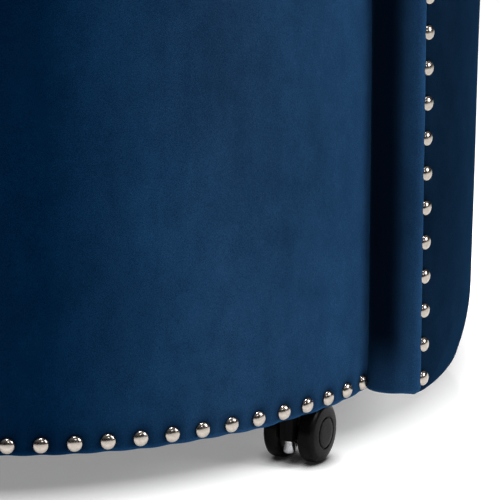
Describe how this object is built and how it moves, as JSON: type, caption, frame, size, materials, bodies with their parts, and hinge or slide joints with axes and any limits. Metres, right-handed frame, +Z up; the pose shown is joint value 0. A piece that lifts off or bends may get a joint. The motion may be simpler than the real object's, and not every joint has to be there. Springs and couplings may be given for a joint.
{
  "type": "armchair",
  "caption": "Barrel armchair upholstered in velvet, with a bowed seat front, padded arm fronts and nail trim, that rolls on swivelling twin-wheel casters.",
  "frame": {"origin": "on the floor, under the middle of the chair's overall box", "axes": "+X towards the chair's right side as seen from the front, +Y towards its back, +Z up; the chair faces -Y"},
  "size_m": [0.7792, 0.7234, 0.7992],
  "materials": {
    "velvet": "navy blue short-pile velvet with a soft sheen",
    "dust_cloth": "thin black non-woven cloth",
    "frame_wood": "sawn plywood and hardwood, unfinished",
    "spring_steel": "drawn spring wire",
    "nickel": "polished warm nickel",
    "caster_steel": "zinc-plated steel",
    "caster_black": "moulded black nylon, semi-gloss"
  },
  "bodies": {
    "chair_body": {"arm_post_left": "frame_wood", "arm_post_right": "frame_wood", "arm_roll_left": "velvet", "arm_roll_right": "velvet", "back_post_left": "frame_wood", "back_post_right": "frame_wood", "back_roll": "velvet", "base_beam_left": "frame_wood", "base_beam_right": "frame_wood", "base_rail_back": "frame_wood", "base_rail_front": "frame_wood", "base_rail_left": "frame_wood", "base_rail_right": "frame_wood", "caster_stem_front_left": "caster_steel", "caster_stem_front_right": "caster_steel", "caster_stem_rear_left": "caster_steel", "caster_stem_rear_right": "caster_steel", "cross_rail_back": "frame_wood", "cross_rail_front": "frame_wood", "dust_cover": "dust_cloth", "front_panel": "velvet", "inside_arm_left": "velvet", "inside_arm_right": "velvet", "inside_back": "velvet", "nail_trim_front": "nickel", "nail_trim_left": "nickel", "nail_trim_right": "nickel", "outside_arm_left": "velvet", "outside_arm_right": "velvet", "outside_back": "velvet", "seat_cushion": "velvet", "seat_rail_back": "frame_wood", "seat_rail_front": "frame_wood", "seat_rail_left": "frame_wood", "seat_rail_right": "frame_wood", "seat_spring_1": "spring_steel", "seat_spring_2": "spring_steel", "seat_spring_3": "spring_steel", "seat_spring_4": "spring_steel", "side_post_left": "frame_wood", "side_post_right": "frame_wood", "top_rail_back": "frame_wood", "top_rail_left": "frame_wood", "top_rail_right": "frame_wood"},
    "swivel_front_left": {"caster_housing_front_left": "caster_black", "caster_axle_front_left": "caster_steel"},
    "wheel_a_front_left": {"caster_wheel_a_front_left": "caster_black"},
    "wheel_b_front_left": {"caster_wheel_b_front_left": "caster_black"},
    "swivel_front_right": {"caster_housing_front_right": "caster_black", "caster_axle_front_right": "caster_steel"},
    "wheel_a_front_right": {"caster_wheel_a_front_right": "caster_black"},
    "wheel_b_front_right": {"caster_wheel_b_front_right": "caster_black"},
    "swivel_rear_left": {"caster_housing_rear_left": "caster_black", "caster_axle_rear_left": "caster_steel"},
    "wheel_a_rear_left": {"caster_wheel_a_rear_left": "caster_black"},
    "wheel_b_rear_left": {"caster_wheel_b_rear_left": "caster_black"},
    "swivel_rear_right": {"caster_housing_rear_right": "caster_black", "caster_axle_rear_right": "caster_steel"},
    "wheel_a_rear_right": {"caster_wheel_a_rear_right": "caster_black"},
    "wheel_b_rear_right": {"caster_wheel_b_rear_right": "caster_black"}
  },
  "joints": [
    {"name": "caster_swivel_front_left", "type": "hinge", "parent": "chair_body", "child": "swivel_front_left", "pos_m": [-0.20704, -0.22804, 0.04], "axis": [0, 0, 1], "continuous": true},
    {"name": "wheel_a_spin_front_left", "type": "hinge", "parent": "swivel_front_left", "child": "wheel_a_front_left", "pos_m": [-0.19697, -0.21193, 0.025], "axis": [-0.848, 0.5299, 0], "continuous": true},
    {"name": "wheel_b_spin_front_left", "type": "hinge", "parent": "swivel_front_left", "child": "wheel_b_front_left", "pos_m": [-0.19697, -0.21193, 0.025], "axis": [-0.848, 0.5299, 0], "continuous": true},
    {"name": "caster_swivel_front_right", "type": "hinge", "parent": "chair_body", "child": "swivel_front_right", "pos_m": [0.20704, -0.22804, 0.04], "axis": [0, 0, 1], "continuous": true},
    {"name": "wheel_a_spin_front_right", "type": "hinge", "parent": "swivel_front_right", "child": "wheel_a_front_right", "pos_m": [0.21711, -0.21193, 0.025], "axis": [-0.848, 0.5299, 0], "continuous": true},
    {"name": "wheel_b_spin_front_right", "type": "hinge", "parent": "swivel_front_right", "child": "wheel_b_front_right", "pos_m": [0.21711, -0.21193, 0.025], "axis": [-0.848, 0.5299, 0], "continuous": true},
    {"name": "caster_swivel_rear_left", "type": "hinge", "parent": "chair_body", "child": "swivel_rear_left", "pos_m": [-0.20704, 0.16787, 0.04], "axis": [0, 0, 1], "continuous": true},
    {"name": "wheel_a_spin_rear_left", "type": "hinge", "parent": "swivel_rear_left", "child": "wheel_a_rear_left", "pos_m": [-0.19697, 0.18398, 0.025], "axis": [-0.848, 0.5299, 0], "continuous": true},
    {"name": "wheel_b_spin_rear_left", "type": "hinge", "parent": "swivel_rear_left", "child": "wheel_b_rear_left", "pos_m": [-0.19697, 0.18398, 0.025], "axis": [-0.848, 0.5299, 0], "continuous": true},
    {"name": "caster_swivel_rear_right", "type": "hinge", "parent": "chair_body", "child": "swivel_rear_right", "pos_m": [0.20704, 0.16787, 0.04], "axis": [0, 0, 1], "continuous": true},
    {"name": "wheel_a_spin_rear_right", "type": "hinge", "parent": "swivel_rear_right", "child": "wheel_a_rear_right", "pos_m": [0.21711, 0.18398, 0.025], "axis": [-0.848, 0.5299, 0], "continuous": true},
    {"name": "wheel_b_spin_rear_right", "type": "hinge", "parent": "swivel_rear_right", "child": "wheel_b_rear_right", "pos_m": [0.21711, 0.18398, 0.025], "axis": [-0.848, 0.5299, 0], "continuous": true}
  ]
}
